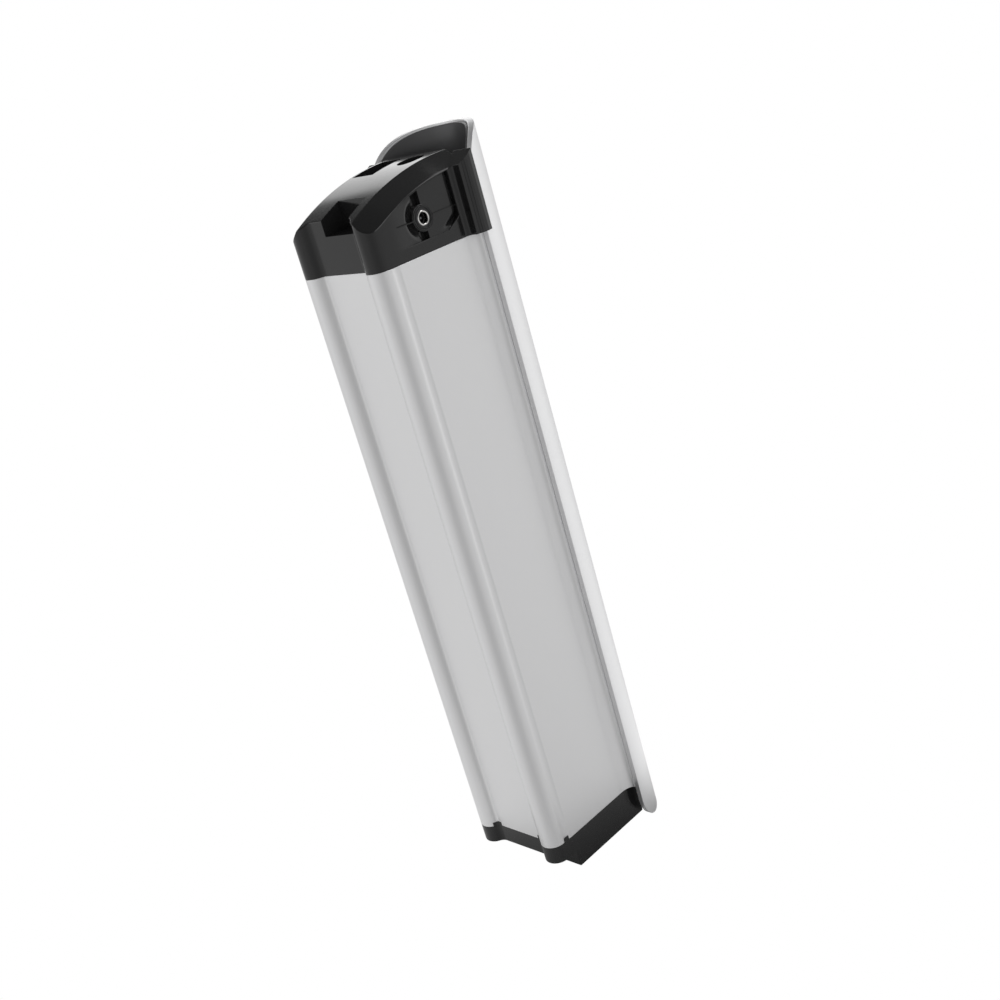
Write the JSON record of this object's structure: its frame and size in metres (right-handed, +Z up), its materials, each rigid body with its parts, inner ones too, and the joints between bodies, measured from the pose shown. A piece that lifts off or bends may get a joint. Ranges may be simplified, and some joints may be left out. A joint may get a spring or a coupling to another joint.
{
  "type": "battery pack",
  "caption": "Tall removable battery pack: aluminium housing with two round front rails, curved cover plate, glossy black top cap with latch slot and charging socket, black bottom cap.",
  "frame": {"origin": "middle of the whole pack's outline seen from above, at the lower end of the cover plate", "axes": "+Z up along the housing, the front panel with its rails faces -Y, the charging socket is on the +X side"},
  "size_m": [0.0974, 0.1202, 0.4935],
  "materials": {
    "bare_aluminium": "fine blasted and clear anodised",
    "tape": "acrylic foam tape",
    "gloss_black": "moulded glossy black",
    "black_rubber": "soft black",
    "screw_steel": "zinc plated",
    "port_black": "moulded black",
    "bright_metal": "polished nickel plate",
    "brass": "turned",
    "black_plastic": "moulded, fine texture",
    "cell_wrap": "shrink wrap",
    "holder_plastic": "moulded",
    "nickel": "rolled nickel strip",
    "insulation": "fibre paper",
    "foam": "open foam",
    "board": "solder resist",
    "chips": "moulded",
    "fuse_plastic": "clear orange",
    "red_wire": "silicone",
    "black_wire": "silicone",
    "white_wire": "thin insulation"
  },
  "bodies": {
    "root": {"housing": "bare_aluminium", "cover_plate": "bare_aluminium", "plate_tape": "tape", "top_cap": "gloss_black", "top_gasket": "black_rubber", "top_cap_screws": "screw_steel", "charge_port_body": "port_black", "charge_port_ring": "bright_metal", "charge_port_pin": "brass", "charge_port_nut": "screw_steel", "bottom_cap": "gloss_black", "bottom_gasket": "black_rubber", "bottom_cap_screws": "screw_steel", "discharge_socket": "black_plastic", "discharge_contacts": "brass", "cells": "cell_wrap", "left_holder": "holder_plastic", "right_holder": "holder_plastic", "left_strips": "nickel", "right_strips": "nickel", "left_insulation": "insulation", "right_insulation": "insulation", "left_foam": "foam", "right_foam": "foam", "bottom_foam": "foam", "bms_standoffs": "brass", "bms_board": "board", "bms_parts": "chips", "bms_heat_spreader": "bare_aluminium", "bms_screws": "screw_steel", "fuse": "fuse_plastic", "discharge_leads": "red_wire", "charge_leads": "black_wire", "balance_harness": "white_wire"}
  },
  "joints": []
}
